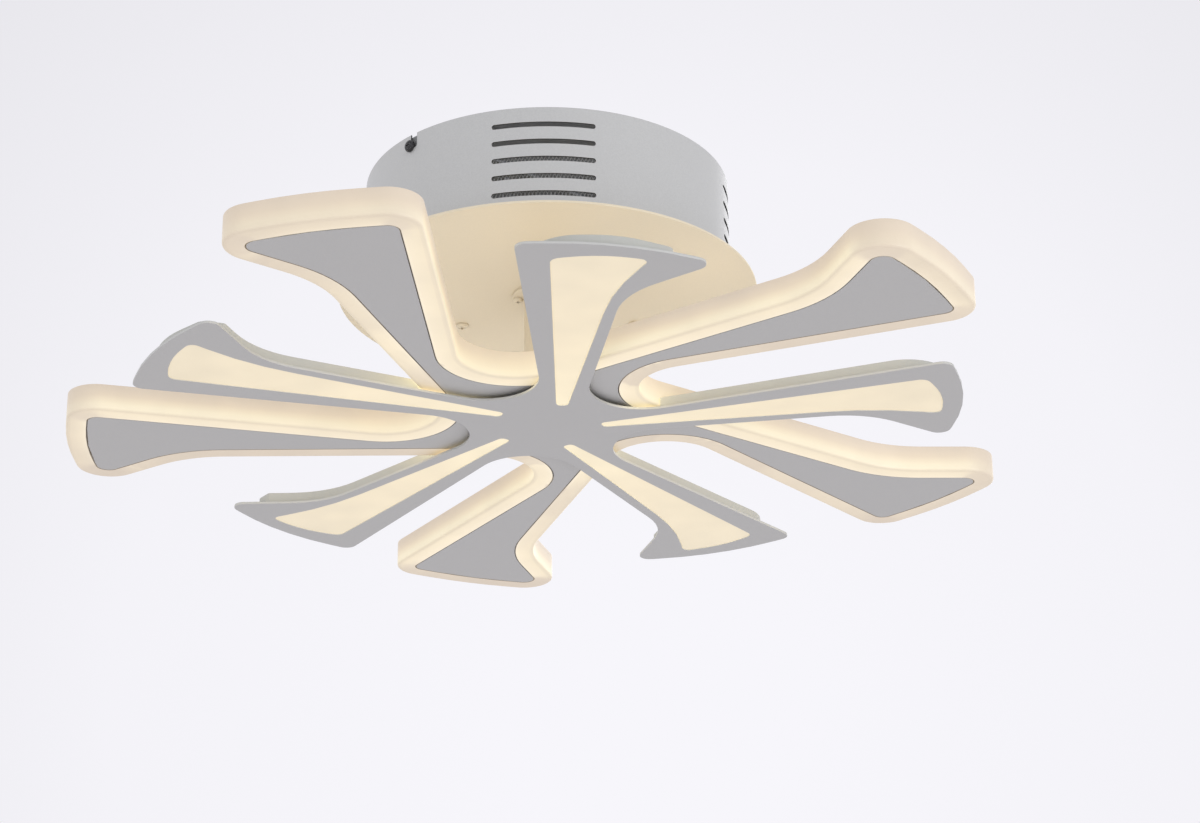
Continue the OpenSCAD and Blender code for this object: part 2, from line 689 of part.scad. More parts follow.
module base_screws() {
  color("lightgray") for (k = [0:arms - 1]) star_place(k) for (p = star_bosses)
    translate([p[0], p[1], base_top]) rotate([180, 0, 0])
      pan_screw(m3, base_t + 8, m3_head_r, m3_head_h);
}

// A row of LED packages under a board, from a to b
module chips(a, b, n, level) {
  d = dir(a, b);
  for (i = [0:n - 1]) translate(concat(lerp(xy(a), xy(b), i / (n - 1)), [level - chip_t]))
    rotate([0, 0, atan2(d[1], d[0])]) translate([-2.5, -1.5, 0]) cube([5, 3, 2 * chip_t]);
}

module star_board(k) {
  low = base_low - board_t;
  inset = 6;
  curve = grow(board_edge, -inset);
  color("white") star_place(k) {
    slab(board_outline, low, base_low);
    chips(at_reach(wrap(curve, -4), wrap(curve, -3), board_in + 12),
      at_reach(wrap(curve, -4), wrap(curve, -3), curve_row_end), 8, low);
    chips(at_reach(curve[0], curve[1], edge_row_start),
      at_reach(curve[0], curve[1], board_out - 12), 12, low);
    translate([board_in + 1, -2, low - 5]) cube([7, 6, 5 + board_t / 2]);
  }
}

module junction_block() {
  color("ivory") difference() {
    pole(puck_r, puck_low, base_low);
    for (a = [0:60:300]) rotate([0, 0, a + 30]) translate([puck_r, 0, puck_low - proud])
      cylinder(r = 2, h = 4);
  }
}

module star_leads() {
  level = base_low - board_t - 2.5;
  color("white") for (k = [0:arms - 1]) star_place(k) translate([puck_r, 1, level])
    rotate([0, 90, 0]) run(board_in + 1 - puck_r, star_lead_r);
}

module framed_plate() {
  hub_stud_top = flange_top + m4_nut_h + thread_end;
  color("silver") {
    difference() {
      rotate([0, 0, -90]) slab(framed_star, framed_low, framed_top);
      framed_arms() slab(window, framed_low - proud, framed_top + proud);
    }
    hub_studs() pole(m4, framed_low + plate_t / 2, hub_stud_top);
    framed_arms() for (p = tray_posts) translate([p[0], p[1], 0]) difference() {
      pole(post_r, framed_low + plate_t / 2, roof_low);
      pole(m3 + fit, roof_low - post_thread, roof_low + proud);
    }
  }
}

module window_diffuser(k) {
  sink = 0.5;
  color("cornsilk") framed_place(k) {
    slab(grow(window, -passing), framed_low + sink, framed_top + diffuser_t / 2);
    slab(grow(window, window_margin), framed_top, framed_top + diffuser_t);
  }
}

module tray(k) {
  color("lightgray") framed_place(k) difference() {
    slab(tray_outline, framed_top, tray_top);
    difference() {
      slab(grow(tray_outline, -tray_wall), framed_top - proud, roof_low);
      slab(star_flank(tray_gap + tray_wall), framed_top - 2 * proud, roof_low + proud);
    }
    slab(star_flank(tray_gap), framed_top - proud, tray_top + proud);
    slab(grow(window, window_margin + seat), framed_top - proud, framed_top + diffuser_t + seat);
    translate([tray_in, tray_lead_side - lead_r - seat, framed_top - proud])
      cube([tray_lead_end - tray_in, 2 * (lead_r + seat), 2 * lead_r + seat + proud]);
    for (p = tray_posts) translate([p[0], p[1], 0]) pole(m3 + passing, roof_low - proud, tray_top + proud);
  }
}

module tray_board(k) {
  low = roof_low - board_t;
  color("white") framed_place(k) {
    slab(tray_board_outline, low, roof_low);
    chips(lerp(xy(tray_board_outline[0]), xy(tray_board_outline[4]), 0.5) + [12, 0],
      lerp(xy(tray_board_outline[1]), xy(tray_board_outline[2]), 0.5) - [15, 0], 10, low);
  }
}

module tray_screws() {
  color("lightgray") framed_arms() for (p = tray_posts)
    translate([p[0], p[1], tray_top]) rotate([180, 0, 0])
      pan_screw(m3, tray_wall + post_thread - 1, tray_head_r, tray_head_h);
}

module tray_leads() {
  r = 5;
  start = 8;
  end = tray_lead_end;
  up = roof_low - board_t;
  color("white") framed_arms() translate([0, tray_lead_side, 0]) {
    translate([start, 0, tray_lead_level + r]) run(puck_low - tray_lead_level - r, lead_r);
    translate([start + r, 0, tray_lead_level + r]) rotate([90, 0, 0]) rotate([0, 0, 180])
      bend(r, lead_r);
    translate([start + r, 0, tray_lead_level]) rotate([0, 90, 0]) run(end - start - 2 * r, lead_r);
    translate([end - r, 0, tray_lead_level + r]) rotate([90, 0, 0]) rotate([0, 0, -90])
      bend(r, lead_r);
    translate([end, 0, tray_lead_level + r]) run(up - tray_lead_level - r, lead_r);
  }
}

module gap_sleeves() {
  color("lightgray") hub_studs() difference() {
    pole(sleeve_r, framed_top, inlay_low);
    pole(m4 + fit, framed_top - proud, inlay_low + proud);
  }
}

module hub_sleeves() {
  color("lightgray") hub_studs() difference() {
    pole(sleeve_r, floor_top, base_low);
    pole(m4 + fit, floor_top - proud, base_low + proud);
  }
}

module hub_nuts() {
  color("lightgray") hub_studs() translate([0, 0, flange_top]) hex_nut(m4, m4_flats, m4_nut_h);
}

ceiling_bracket();
side_screws();
earth_screw();
canopy_drum();
vent_screen();
cover_plate();
cover_nuts();
led_driver();
driver_screws();
driver_nuts();
terminal_block();
mains_lead();
output_lead();
stem();
stem_screws();
stem_nuts();
acrylic_star();
inlay_star();
base_plate();
base_screws();
star_board(0);  // star_board_1
star_board(1);  // star_board_2
star_board(2);  // star_board_3
star_board(3);  // star_board_4
star_board(4);  // star_board_5
junction_block();
star_leads();
framed_plate();
window_diffuser(0);  // window_1
window_diffuser(1);  // window_2
window_diffuser(2);  // window_3
window_diffuser(3);  // window_4
window_diffuser(4);  // window_5
tray(0);  // tray_1
tray(1);  // tray_2
tray(2);  // tray_3
tray(3);  // tray_4
tray(4);  // tray_5
tray_board(0);  // tray_board_1
tray_board(1);  // tray_board_2
tray_board(2);  // tray_board_3
tray_board(3);  // tray_board_4
tray_board(4);  // tray_board_5
tray_screws();
tray_leads();
gap_sleeves();
hub_sleeves();
hub_nuts();
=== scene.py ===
# %% [markdown]
# # A star-shaped LED ceiling light
# Two flat stars hang under a round vented canopy. The one nearer the ceiling is a frosted acrylic
# shell with a silver metal star let into its underside. The one nearer the room is a silver plate
# with five lit windows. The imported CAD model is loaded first, and everything here is made in its
# frame: metres, +Z up, the origin on the ceiling over the stem.

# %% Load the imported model
import math

import bmesh
import bpy
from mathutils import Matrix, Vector
from mathutils.kdtree import KDTree


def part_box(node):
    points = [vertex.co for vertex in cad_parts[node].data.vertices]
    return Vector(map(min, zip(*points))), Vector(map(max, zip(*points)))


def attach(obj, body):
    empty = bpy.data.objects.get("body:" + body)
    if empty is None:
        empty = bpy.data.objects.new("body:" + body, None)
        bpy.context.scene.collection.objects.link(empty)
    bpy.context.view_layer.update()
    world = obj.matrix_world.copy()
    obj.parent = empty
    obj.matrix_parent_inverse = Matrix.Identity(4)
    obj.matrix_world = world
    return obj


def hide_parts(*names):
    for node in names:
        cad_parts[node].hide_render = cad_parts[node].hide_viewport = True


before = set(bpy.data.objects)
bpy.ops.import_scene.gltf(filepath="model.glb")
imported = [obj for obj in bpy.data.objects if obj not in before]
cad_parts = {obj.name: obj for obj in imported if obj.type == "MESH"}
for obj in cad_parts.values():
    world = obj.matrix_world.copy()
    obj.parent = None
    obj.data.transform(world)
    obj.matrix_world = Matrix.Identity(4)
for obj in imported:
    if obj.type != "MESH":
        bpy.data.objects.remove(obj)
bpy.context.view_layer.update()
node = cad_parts

# %% [markdown]
# ## The camera
# The light is seen from below and in front, as by someone standing in the room. A long lens keeps
# the far arms nearly as large as the near ones. A rotation about X tips the camera up from level,
# and a small turn about its own axis takes up the tilt of the horizon.

# %% Camera
camera_height = -1.1307
camera_back = 2.2152
camera_side = 0.0418
look_up = 22.884
horizon_tilt = -0.567

lens = bpy.data.cameras.new("room_camera")
lens.sensor_width = 36
lens.lens = 90.05
lens.clip_end = 60
camera = bpy.data.objects.new("room_camera", lens)
camera.location = (camera_side, -camera_back, camera_height)
camera.rotation_euler = (math.radians(90 + look_up), 0, 0)
camera.rotation_euler.rotate_axis("Z", math.radians(horizon_tilt))
bpy.context.scene.collection.objects.link(camera)
bpy.context.scene.camera = camera
bpy.context.scene.view_settings.view_transform = "Standard"
print("camera distance from the stem", round(Vector(camera.location).length, 3), "m")

# %% [markdown]
# ## Helpers for node trees
# A material, a world and a geometry tree are all node trees, so a few small helpers serve them
# all. Each adds a node and feeds its inputs, either with a plain value or with a link from another
# node's output.

# %% Add a node
def feed(tree, socket, value):
    """Links an output to this input, or sets a plain value on it."""
    if isinstance(value, bpy.types.NodeSocket):
        tree.links.new(value, socket)
    elif value is not None:
        socket.default_value = value


def add(tree, kind, settings=None, **sockets):
    """Adds a node; settings are its properties, and sockets its input values, _ for a space."""
    made = tree.nodes.new(kind)
    for key, value in (settings or {}).items():
        setattr(made, key, value)
    for key, value in sockets.items():
        feed(tree, made.inputs[key.replace("_", " ")], value)
    return made


def place_group(tree, shared, **sockets):
    """Places a shared shader group with this finish's own values."""
    return add(tree, "ShaderNodeGroup", {"node_tree": shared}, **sockets)


print("helpers", feed.__name__, add.__name__, place_group.__name__)


# %% Sums with numbers, vectors and colours
def math_node(tree, operation, a, b=0.0, clamp=False):
    """A sum of two numbers, kept between 0 and 1 where clamp is set."""
    made = add(tree, "ShaderNodeMath", {"operation": operation, "use_clamp": clamp})
    feed(tree, made.inputs[0], a)
    feed(tree, made.inputs[1], b)
    return made.outputs[0]


def vector_math(tree, operation, a, b=None):
    """A sum of vectors; SCALE takes a number as b. Gives a number or a vector."""
    made = add(tree, "ShaderNodeVectorMath", {"operation": operation})
    feed(tree, made.inputs[0], a)
    feed(tree, made.inputs["Scale"] if operation == "SCALE" else made.inputs[1], b)
    gives_number = operation in ("DOT_PRODUCT", "LENGTH", "DISTANCE")
    return made.outputs["Value" if gives_number else "Vector"]


def mix_colours(tree, factor, first, second, way="MIX"):
    """Goes from the first colour to the second with the factor."""
    made = add(tree, "ShaderNodeMix", {"data_type": "RGBA", "blend_type": way})
    for number, value in ((0, factor), (6, first), (7, second)):
        feed(tree, made.inputs[number], value)
    return made.outputs[2]


def ramp(tree, factor, stops):
    """A colour ramp; each stop is (place, (r, g, b))."""
    made = tree.nodes.new("ShaderNodeValToRGB")
    tree.links.new(factor, made.inputs[0])
    elements = made.color_ramp.elements
    elements.remove(elements[1])
    elements[0].position, elements[0].color = stops[0][0], (*stops[0][1], 1)
    for place, colour in stops[1:]:
        elements.new(place).color = (*colour, 1)
    return made.outputs[0]


def linear(red, green, blue):
    """The linear colour of three 0 to 255 screen values."""
    return tuple(((c / 255 + 0.055) / 1.055) ** 2.4 if c > 10 else c / 3295
                 for c in (red, green, blue))


print("a mid grey of 128 is", round(linear(128, 128, 128)[0], 3), "linear")


# %% Places on the light
def level_place(tree):
    """The point's place with its height left out: it points from the stem's axis to the point."""
    place = add(tree, "ShaderNodeTexCoord").outputs["Object"]
    return vector_math(tree, "MULTIPLY", place, (1, 1, 0))


def stem_distance(tree):
    """How far the point is from the stem's axis, in metres."""
    return vector_math(tree, "LENGTH", level_place(tree))


# %% [markdown]
# ## Backdrop and lamps
# The backdrop is the world itself: rays from the camera, and reflections, meet a pale wall with a
# soft pool of light low on it, and all other rays meet plain white light. Two large soft lamps
# stand in the room below the light, the right one stronger, and a third stands behind it. A small
# warm one lies on the upper star and faces the cover plate, which the acrylic walls light up in the
# real room. A pale floor lies far below and catches the shadow; it is clear from behind, so that it
# hides nothing from below.

# %% World
pool_direction = (0.017, 0.954, 0.299)
# (distance from the pool's direction, colour of the wall)
wall_tones = [(0.05, linear(247, 246, 251)), (0.18, linear(244, 243, 248)),
              (0.31, linear(233, 232, 237))]

world = bpy.data.worlds.new("pale_room")
world.use_nodes = True
bpy.context.scene.world = world
sky = world.node_tree
sky.nodes.clear()
direction = add(sky, "ShaderNodeTexCoord").outputs["Generated"]
wall = ramp(sky, vector_math(sky, "DISTANCE", direction, pool_direction), wall_tones)
path = add(sky, "ShaderNodeLightPath")
seen = math_node(sky, "MAXIMUM", path.outputs["Is Camera Ray"], path.outputs["Is Glossy Ray"])
seen = math_node(sky, "MAXIMUM", seen, path.outputs["Is Transmission Ray"])
room_light = add(sky, "ShaderNodeBackground", Color=(1.0, 0.995, 0.99, 1), Strength=1.0)
room_wall = add(sky, "ShaderNodeBackground", Color=wall, Strength=1.0)
mix = add(sky, "ShaderNodeMixShader", Fac=seen)
sky.links.new(room_light.outputs[0], mix.inputs[1])
sky.links.new(room_wall.outputs[0], mix.inputs[2])
add(sky, "ShaderNodeOutputWorld", Surface=mix.outputs[0])
print("wall tones", len(wall_tones))


# %% Lamps
def soft_lamp(name, place, size, power, colour=(1, 1, 1)):
    """A square area lamp that faces the stars; size in metres and power in watts."""
    data = bpy.data.lights.new(name, "AREA")
    data.size = size
    data.energy = power
    data.color = colour
    lamp = bpy.data.objects.new(name, data)
    lamp.location = place
    middle_of_light = Vector((0, 0, -0.15))
    aim = middle_of_light - Vector(place)
    lamp.rotation_euler = aim.to_track_quat("-Z", "Y").to_euler()
    bpy.context.scene.collection.objects.link(lamp)
    return lamp


soft_lamp("lamp_left", (-1.9, -2.0, -0.9), 1.6, 6)
soft_lamp("lamp_right", (2.1, -1.6, -0.7), 1.4, 20)
soft_lamp("lamp_back", (0.6, 2.4, 0.9), 1.8, 12)
spill = soft_lamp("spill_on_cover", (0, 0, -0.176), 0.34, 0.11, (1.0, 0.95, 0.88))
spill.rotation_euler = (math.pi, 0, 0)
spill.visible_camera = False


# %% Floor, and a ceiling in painted shade over the open canopy
def one_sided(name, colour, camera_only):
    """A matte surface, clear from behind, and clear to light where only the camera sees it."""
    made = bpy.data.materials.new(name)
    made.use_nodes = True
    tree = made.node_tree
    tree.nodes.clear()
    matte = add(tree, "ShaderNodeBsdfDiffuse", Color=(*colour, 1))
    clear = add(tree, "ShaderNodeBsdfTransparent")
    hidden = add(tree, "ShaderNodeNewGeometry").outputs["Backfacing"]
    if camera_only:
        rays = add(tree, "ShaderNodeLightPath").outputs["Is Camera Ray"]
        hidden = math_node(tree, "MAXIMUM", hidden, math_node(tree, "SUBTRACT", 1.0, rays))
    both = add(tree, "ShaderNodeMixShader", Fac=hidden)
    tree.links.new(matte.outputs[0], both.inputs[1])
    tree.links.new(clear.outputs[0], both.inputs[2])
    add(tree, "ShaderNodeOutputMaterial", Surface=both.outputs[0])
    return made


def flat_stage(name, corners, material):
    """A flat stage surface; its corners run counter-clockwise as seen from its front."""
    mesh = bpy.data.meshes.new(name)
    mesh.from_pydata(corners, [], [list(range(len(corners)))])
    mesh.materials.append(material)
    surface = bpy.data.objects.new(name, mesh)
    bpy.context.scene.collection.objects.link(surface)
    return surface


floor_level = -2.3
floor_half = 7
flat_stage("floor", [(x * floor_half, y * floor_half, floor_level)
                     for x, y in ((-1, -1), (1, -1), (1, 1), (-1, 1))],
           one_sided("pale_floor", linear(240, 238, 242), False))
shade_radius = 0.125
shade_corners = 48
shade_level = 0.0006
shade = [(shade_radius * math.cos(a), -shade_radius * math.sin(a), shade_level)
         for a in [i * math.tau / shade_corners for i in range(shade_corners)]]
# The disc stands for the ceiling inside the canopy: only the camera sees it, light passes it, and
# its dark colour is painted shade
flat_stage("ceiling_over_canopy", shade, one_sided("painted_shade_ceiling", (0.25, 0.265, 0.3), True))
print("floor at", floor_level, "m")

# %% [markdown]
# ## Effects that several finishes share
# Three effects come back in most finishes, so each is one node group with its own inputs: the fine
# grain of sprayed paint, a soft line along the edges, where a painted highlight goes, and the way
# that light spreads in frosted acrylic. The groups give out only what changes over the surface.

# %% A new group
COLOUR, NUMBER, VECTOR = "NodeSocketColor", "NodeSocketFloat", "NodeSocketVector"


def group(name, inputs, outputs):
    """An empty shader group; inputs are (name, kind, default), outputs (name, kind)."""
    made = bpy.data.node_groups.new(name, "ShaderNodeTree")
    face = made.interface
    for label, kind, default in inputs:
        face.new_socket(label, in_out="INPUT", socket_type=kind).default_value = default
    for label, kind in outputs:
        face.new_socket(label, in_out="OUTPUT", socket_type=kind)
    return made, made.nodes.new("NodeGroupInput"), made.nodes.new("NodeGroupOutput")


print("kinds of input", COLOUR, NUMBER, VECTOR)

# %% The grain of sprayed paint: tiny flakes, with slow drifts in tone and gloss
paint_grain, start, end = group(
    "paint_grain",
    [("Colour", COLOUR, (0.5, 0.5, 0.5, 1)), ("Flake Size", NUMBER, 0.0006),
     ("Tone Drift", NUMBER, 0.03), ("Flake Contrast", NUMBER, 0.05), ("Roughness", NUMBER, 0.4)],
    [("Colour", COLOUR), ("Roughness", NUMBER), ("Height", NUMBER)])
place = add(paint_grain, "ShaderNodeTexCoord").outputs["Object"]
fineness = math_node(paint_grain, "DIVIDE", 1.0, start.outputs["Flake Size"])
flakes = add(paint_grain, "ShaderNodeTexVoronoi", Vector=place, Scale=fineness)
drift = add(paint_grain, "ShaderNodeTexNoise", Vector=place, Scale=9.0, Detail=3.0)
flake_grey = add(paint_grain, "ShaderNodeSeparateColor", Color=flakes.outputs["Color"]).outputs[0]


def centred(pattern, amount):
    """The pattern about 0 instead of about 0.5, times an input of the group."""
    about_zero = math_node(paint_grain, "SUBTRACT", pattern, 0.5)
    return math_node(paint_grain, "MULTIPLY", about_zero, start.outputs[amount])


flake_tone = centred(flake_grey, "Flake Contrast")
slow_tone = centred(drift.outputs[0], "Tone Drift")
both_tones = math_node(paint_grain, "ADD", flake_tone, slow_tone)
tone = math_node(paint_grain, "ADD", both_tones, 1.0)
toned = vector_math(paint_grain, "SCALE", start.outputs["Colour"], tone)
slow_gloss = math_node(paint_grain, "MULTIPLY", slow_tone, 2.0)
rough = math_node(paint_grain, "ADD", start.outputs["Roughness"], slow_gloss)
rough = math_node(paint_grain, "ADD", rough, flake_tone, clamp=True)
paint_grain.links.new(toned, end.inputs["Colour"])
paint_grain.links.new(rough, end.inputs["Roughness"])
paint_grain.links.new(flake_grey, end.inputs["Height"])
print("outputs of the grain", [s.name for s in end.inputs if s.name])

# %% A line along the edges, where the rounded normal turns away from the face's own normal
edge_line, start, end = group(
    "edge_line", [("Width", NUMBER, 0.0006), ("Strength", NUMBER, 0.5)],
    [("Mask", NUMBER), ("Normal", VECTOR)])
soft = add(edge_line, "ShaderNodeBevel", {"samples": 4}, Radius=start.outputs["Width"]).outputs[0]
facing = add(edge_line, "ShaderNodeNewGeometry").outputs["Normal"]
agreement = vector_math(edge_line, "DOT_PRODUCT", soft, facing)
bent = math_node(edge_line, "SUBTRACT", 1.0, agreement)
bent = math_node(edge_line, "MULTIPLY", bent, 3.0, clamp=True)
mask = math_node(edge_line, "MULTIPLY", bent, start.outputs["Strength"], clamp=True)
edge_line.links.new(mask, end.inputs["Mask"])
edge_line.links.new(soft, end.inputs["Normal"])
print("outputs of the line", [s.name for s in end.inputs if s.name])

# %% Light in frosted acrylic: cloudy by some percent, and weaker towards the tips of the arms
acrylic_light, start, end = group(
    "acrylic_light",
    [("Near", NUMBER, 0.05), ("Far", NUMBER, 0.4), ("Tip Level", NUMBER, 0.6)],
    [("Level", NUMBER)])
fade = add(acrylic_light, "ShaderNodeMapRange", Value=stem_distance(acrylic_light),
           From_Min=start.outputs["Near"], From_Max=start.outputs["Far"],
           To_Min=1.0, To_Max=start.outputs["Tip Level"]).outputs[0]
place = add(acrylic_light, "ShaderNodeTexCoord").outputs["Object"]
cloud = add(acrylic_light, "ShaderNodeTexNoise", Vector=place, Scale=24.0, Detail=1.0).outputs[0]
cloudiness = 0.36
cloud = math_node(acrylic_light, "MULTIPLY", cloud, cloudiness)
uneven = math_node(acrylic_light, "ADD", cloud, 1 - cloudiness / 2)
acrylic_light.links.new(math_node(acrylic_light, "MULTIPLY", fade, uneven), end.inputs["Level"])
print("groups", [g.name for g in bpy.data.node_groups])

# %% [markdown]
# ## Finishes
# Each finish is a Principled shader of its own. Sprayed parts share one recipe: the paint's grain
# sets colour, gloss and a faint bump, and the edges show a thin lighter line, a painted highlight
# where the rounded edges catch the light. A cut through the sheet gets painted light where it
# shows:
# the stars' cut edges are painted lighter than their flat sides, and the drum's punched slots are
# painted near black inside, as painted shade.

# %% Faces of a cut through sheet metal
def upright_faces(tree):
    """1 on the cut edges of a flat sheet."""
    normal = add(tree, "ShaderNodeNewGeometry").outputs["Normal"]
    upward = add(tree, "ShaderNodeSeparateXYZ", Vector=normal).outputs["Z"]
    return math_node(tree, "LESS_THAN", math_node(tree, "ABSOLUTE", upward), 0.5)


def punched_faces(tree):
    """1 on the faces of the drum's slots, notches and rim, which face neither in nor out."""
    above_lip = -0.085
    outward = vector_math(tree, "NORMALIZE", level_place(tree))
    normal = add(tree, "ShaderNodeNewGeometry").outputs["True Normal"]
    agreement = vector_math(tree, "DOT_PRODUCT", outward, normal)
    sideways = math_node(tree, "LESS_THAN", math_node(tree, "ABSOLUTE", agreement), 0.5)
    place = add(tree, "ShaderNodeTexCoord").outputs["Object"]
    height = add(tree, "ShaderNodeSeparateXYZ", Vector=place).outputs["Z"]
    return math_node(tree, "MULTIPLY", sideways,
                     math_node(tree, "GREATER_THAN", height, above_lip))


print("masks", upright_faces.__name__, punched_faces.__name__)


# %% Recipe for painted and plated metal
def finish(name):
    """A new material with its tree and its Principled shader."""
    made = bpy.data.materials.new(name)
    made.use_nodes = True
    return made, made.node_tree, made.node_tree.nodes["Principled BSDF"]


RELIEF = 0.0002


def sprayed(name, colour, roughness, metal=0.0, flake=0.0005, contrast=0.05, drift=0.04,
            bump=0.04, edge=0.35, edge_width=0.0005, edge_highlight_tint=(0.75, 0.75, 0.76), cut_face_painted_light=None,
            cut_faces=upright_faces):
    """Sprayed paint; cut_face_painted_light, where given, colours the sheet's cut faces to stand
    for light and shade there.
    """
    made, tree, bsdf = finish(name)
    grain = place_group(tree, paint_grain, Colour=(*colour, 1), Flake_Size=flake,
                        Tone_Drift=drift, Flake_Contrast=contrast, Roughness=roughness)
    line = place_group(tree, edge_line, Width=edge_width, Strength=edge)
    # Painted highlight: a lighter tint along the edges, where their rounding catches the light
    shown = mix_colours(tree, line.outputs["Mask"], grain.outputs["Colour"], (*edge_highlight_tint, 1))
    # Painted light on the cut faces: a painted highlight on the stars, painted shade in the drum's
    # cuts
    if cut_face_painted_light:
        shown = mix_colours(tree, cut_faces(tree), shown, (*cut_face_painted_light, 1))
    tree.links.new(shown, bsdf.inputs["Base Color"])
    tree.links.new(grain.outputs["Roughness"], bsdf.inputs["Roughness"])
    relief = add(tree, "ShaderNodeBump", Strength=bump, Distance=RELIEF,
                 Height=grain.outputs["Height"], Normal=line.outputs["Normal"])
    tree.links.new(relief.outputs[0], bsdf.inputs["Normal"])
    bsdf.inputs["Metallic"].default_value = metal
    return made


print("bumps are at most", RELIEF, "m deep")

# %% Painted and plated finishes
# The stars' lighter cut edges are a painted highlight, as if lit from the room's front
star_silver = sprayed("star_silver", (0.405, 0.403, 0.398), 0.42, metal=0.25, contrast=0.06,
                      drift=0.08, edge=0.7, edge_width=0.0008, cut_face_painted_light=(0.5, 0.505, 0.495))
# The drum's near-black cut faces are painted shade in its slots, notches and rim
drum_silver = sprayed("drum_silver", (0.485, 0.49, 0.493), 0.38, metal=0.3, contrast=0.08,
                      flake=0.0007, cut_face_painted_light=(0.03, 0.03, 0.03), cut_faces=punched_faces)
# A pale cream paint whose warm tint is partly painted light: the warm glow of the acrylic stars on
# the cover
warm_lit_cover_paint = sprayed("warm_lit_cover_paint", (0.70, 0.62, 0.477), 0.4, metal=0.1, contrast=0.05)
tray_grey = sprayed("tray_grey", (0.44, 0.445, 0.425), 0.5, contrast=0.03, edge=0.25)
back_white = sprayed("back_white", (0.72, 0.72, 0.71), 0.55, contrast=0.03, flake=0.0009)
plated_steel = sprayed("plated_steel", (0.6, 0.61, 0.64), 0.3, metal=0.9, contrast=0.12,
                       flake=0.0012)
# Zinc plating, darkened in part as painted shade for the bracket inside the canopy, seen through
# the vents
zinc_with_painted_shade = sprayed("zinc_with_painted_shade", (0.2, 0.205, 0.21), 0.6, metal=0.3, contrast=0.14,
                    flake=0.0025, edge=0.1)
# The screw heads' light edge tint is a painted highlight ring
black_screw = sprayed("black_screw", (0.03, 0.03, 0.033), 0.35, metal=0.6, edge=0.9,
                      edge_highlight_tint=(0.5, 0.5, 0.51))
mesh_wire = sprayed("mesh_wire", (0.36, 0.365, 0.375), 0.35, metal=0.7, flake=0.0003, edge=0.0)
brass_screw = sprayed("brass_screw", (0.66, 0.47, 0.2), 0.28, metal=1.0, contrast=0.05,
                      edge_highlight_tint=(0.85, 0.7, 0.4))
print("finishes so far", len(bpy.data.materials))

# %% [markdown]
# ## Moulded plastics
# The driver's case, the terminals and the leads are plain mouldings. What shows on such plastic is
# a fine spark-eroded texture and a slight drift in gloss, so the recipe is a noise bump and no
# flakes.

# %% Plastic finishes
def moulded(name, colour, roughness, texture=0.0006, bump=0.12):
    """Moulded plastic; texture is the size of its finest marks in metres."""
    made, tree, bsdf = finish(name)
    place = add(tree, "ShaderNodeTexCoord").outputs["Object"]
    fine = add(tree, "ShaderNodeTexNoise", Vector=place, Scale=1 / texture, Detail=2.0)
    slow = add(tree, "ShaderNodeTexNoise", Vector=place, Scale=30.0, Detail=2.0).outputs[0]
    darker = tuple(c * 0.95 for c in colour)
    shown = ramp(tree, slow, [(0.3, darker), (0.7, colour)])
    tree.links.new(shown, bsdf.inputs["Base Color"])
    gloss_drift = 0.12
    level = math_node(tree, "MULTIPLY", slow, gloss_drift)
    level = math_node(tree, "ADD", level, roughness - gloss_drift / 2)
    tree.links.new(level, bsdf.inputs["Roughness"])
    line = place_group(tree, edge_line, Width=0.0006, Strength=0.0)
    relief = add(tree, "ShaderNodeBump", Strength=bump, Distance=RELIEF, Height=fine.outputs[0],
                 Normal=line.outputs["Normal"])
    tree.links.new(relief.outputs[0], bsdf.inputs["Normal"])
    return made


# The driver's case is near black as painted shade, so that the inside of the canopy looks dark
# through the vents
driver_painted_shade = moulded("driver_painted_shade", (0.035, 0.035, 0.037), 0.5)
terminal_ivory = moulded("terminal_ivory", (0.74, 0.72, 0.62), 0.42)
lead_white = moulded("lead_white", (0.8, 0.8, 0.78), 0.38, texture=0.0012, bump=0.05)
board_white = moulded("board_white", (0.82, 0.82, 0.8), 0.35, texture=0.0009, bump=0.06)
print("plastics", driver_painted_shade.name, terminal_ivory.name, lead_white.name, board_white.name)

# %% [markdown]
# ## The frosted acrylic star
# The real shell is one milled or moulded piece: a flat underside that carries the metal star, a
# rounded lower edge and a straight wall up to the base plate. Light from the boards inside comes
# out brightest just above the lower edge. The same outline, grown by different amounts at different
# heights, makes every ring of the shell, so one list of rings is the whole section of the piece.
# Each ring also carries a number from 0 at the metal star to 1 at the top of the wall, and the
# finish reads its glow from that number. Sizes in this part are millimetres, as on a drawing, and
# turn into metres when the mesh is made.

# %% Helpers for flat outlines
ARMS = 5
STAR_TURN = math.radians(36 - 90)


def turned(p, angle):
    """The point turned about the stem."""
    c, s = math.cos(angle), math.sin(angle)
    return (p[0] * c - p[1] * s, p[0] * s + p[1] * c)


def crossing(a, b):
    """The cross product of two flat vectors: above 0 where b lies to the left of a."""
    return a[0] * b[1] - a[1] * b[0]


def towards(a, b):
    """The direction from a to b, one long."""
    d = Vector((b[0] - a[0], b[1] - a[1]))
    return d / d.length


print("turn of the upper star", round(math.degrees(STAR_TURN)), "degrees")


# %% An outline that can grow, rounded at its corners
def grown(corners, by):
    """The outline with its edges moved outwards; each corner is (x, y, radius)."""
    least_radius = 0.2
    out = []
    for i, here in enumerate(corners):
        e = towards(corners[i - 1], here)
        f = towards(here, corners[(i + 1) % len(corners)])
        n, m = Vector((e.y, -e.x)), Vector((f.y, -f.x))
        p = Vector(here[:2]) + (n + m) * by / (1 + n.dot(m))
        radius = here[2] + (by if crossing(e, f) > 0 else -by)
        out.append((p.x, p.y, max(least_radius, radius)))
    return out


